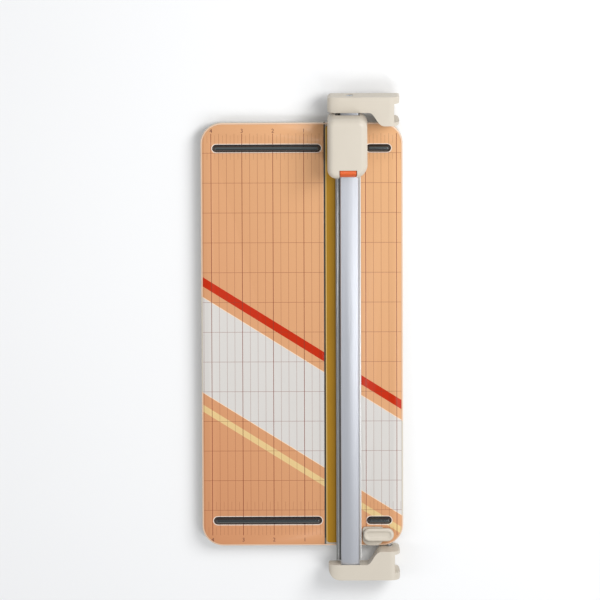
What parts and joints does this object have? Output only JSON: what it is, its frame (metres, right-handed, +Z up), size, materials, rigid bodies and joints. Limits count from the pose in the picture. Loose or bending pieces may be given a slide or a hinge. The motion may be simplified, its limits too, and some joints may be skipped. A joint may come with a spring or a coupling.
{
  "type": "rotary paper trimmer",
  "caption": "Portable rotary paper trimmer: ruled bed with paper guides, hinged aluminium rail, and a sliding carriage that presses a round blade onto a cutting strip.",
  "frame": {"origin": "middle of the footprint, on the surface that the rubber feet stand on", "axes": "+Z up, +Y along the rail towards the end where the carriage rests, +X towards the hinge side"},
  "size_m": [0.166, 0.4118, 0.0466],
  "materials": {
    "cream_plastic": "fine moulded satin",
    "printed_panel": "printed sheet under a thin clear film",
    "ochre_strip": "self-healing mat, matt",
    "black_plastic": "polished",
    "rubber": "matt",
    "steel": "zinc plated",
    "blade_steel": "ground and polished",
    "aluminium": "satin anodised, drawn lengthwise",
    "clear_plastic": "clear, slightly milky",
    "orange_plastic": "smooth moulded",
    "natural_plastic": "uncoloured acetal"
  },
  "bodies": {
    "base": {"base_tray": "cream_plastic", "bottom_cover": "cream_plastic", "deck_left": "printed_panel", "deck_right": "printed_panel", "cutting_strip": "ochre_strip", "latch_guide": "cream_plastic", "guide_bar_front_left": "black_plastic", "guide_bar_front_right": "black_plastic", "guide_bar_rear_left": "black_plastic", "guide_bar_rear_right": "black_plastic", "foot_front_left": "rubber", "foot_front_right": "rubber", "foot_rear_left": "rubber", "foot_rear_right": "rubber", "hinge_pin_front": "steel", "hinge_pin_rear": "steel", "cover_screw_1": "steel", "cover_screw_2": "steel", "cover_screw_3": "steel", "cover_screw_4": "steel", "cover_screw_5": "steel", "cover_screw_6": "steel"},
    "latch": {"latch_button": "cream_plastic"},
    "rail": {"rail_extrusion": "aluminium", "hold_down_strip": "clear_plastic", "grip_strip_left": "rubber", "grip_strip_right": "rubber", "bracket_front": "cream_plastic", "bracket_rear": "cream_plastic", "hinge_bush_front": "natural_plastic", "hinge_bush_rear": "natural_plastic", "rail_screw_front": "steel", "rail_screw_rear": "steel"},
    "carriage": {"carriage_chassis": "cream_plastic", "glide_pad_front": "natural_plastic", "glide_pad_rear": "natural_plastic", "press_spring_front": "steel", "press_spring_rear": "steel"},
    "press": {"press_cap": "cream_plastic", "blade_holder": "natural_plastic", "blade_axle": "steel", "holder_screw_front": "steel", "holder_screw_rear": "steel", "button_spring": "steel"},
    "blade": {"blade": "blade_steel", "blade_hub": "natural_plastic"},
    "button": {"release_button": "orange_plastic"}
  },
  "joints": [
    {"name": "rail_hinge", "type": "hinge", "parent": "base", "child": "rail", "pos_m": [0.0714, 0, 0.0088], "axis": [0, 1, 0], "range_deg": [0, 75]},
    {"name": "carriage_slide", "type": "slide", "parent": "rail", "child": "carriage", "axis": [0, -1, 0], "range_m": [0, 0.33]},
    {"name": "press_slide", "type": "slide", "parent": "carriage", "child": "press", "axis": [0, 0, -1], "range_m": [0, 0.003], "stiffness_N_per_m": 900, "springref_m": -0.002, "deforming": ["press_spring_front", "press_spring_rear"]},
    {"name": "blade_spin", "type": "hinge", "parent": "press", "child": "blade", "pos_m": [0.0271, 0.166, 0.0301], "axis": [1, 0, 0], "continuous": true},
    {"name": "button_press", "type": "slide", "parent": "press", "child": "button", "axis": [0, 0, -1], "range_m": [0, 0.002], "stiffness_N_per_m": 500, "springref_m": -0.0015, "deforming": ["button_spring"]},
    {"name": "latch_slide", "type": "slide", "parent": "base", "child": "latch", "axis": [-1, 0, 0], "range_m": [0, 0.0027]}
  ]
}
